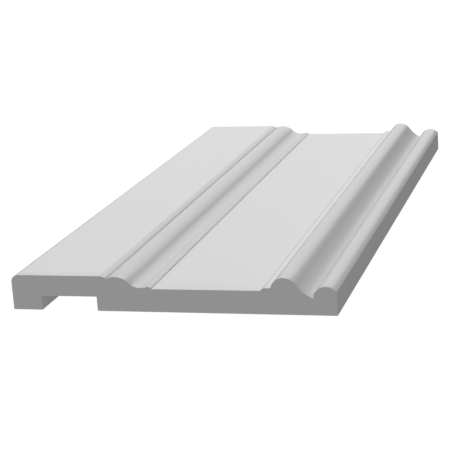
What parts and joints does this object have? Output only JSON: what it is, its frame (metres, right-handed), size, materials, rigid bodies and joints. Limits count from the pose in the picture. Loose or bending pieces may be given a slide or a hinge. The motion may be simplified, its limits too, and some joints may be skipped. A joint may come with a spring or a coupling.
{
  "type": "skirting board",
  "caption": "Length of tall moulded skirting board: plinth, ogees, beads and a flat field on the face, and a square cable channel along the back.",
  "frame": {"origin": "middle of the flat back face, on the surface that the board lies on", "axes": "+X up the wall from the bottom edge to the top edge, +Y along the wall, +Z out of the wall towards the room"},
  "size_m": [0.225, 0.494, 0.025],
  "materials": {
    "white_moulding": "white primer-like satin finish, the same on the face, the back and the cut ends"
  },
  "bodies": {
    "root": {"skirting_board": "white_moulding"}
  },
  "joints": []
}
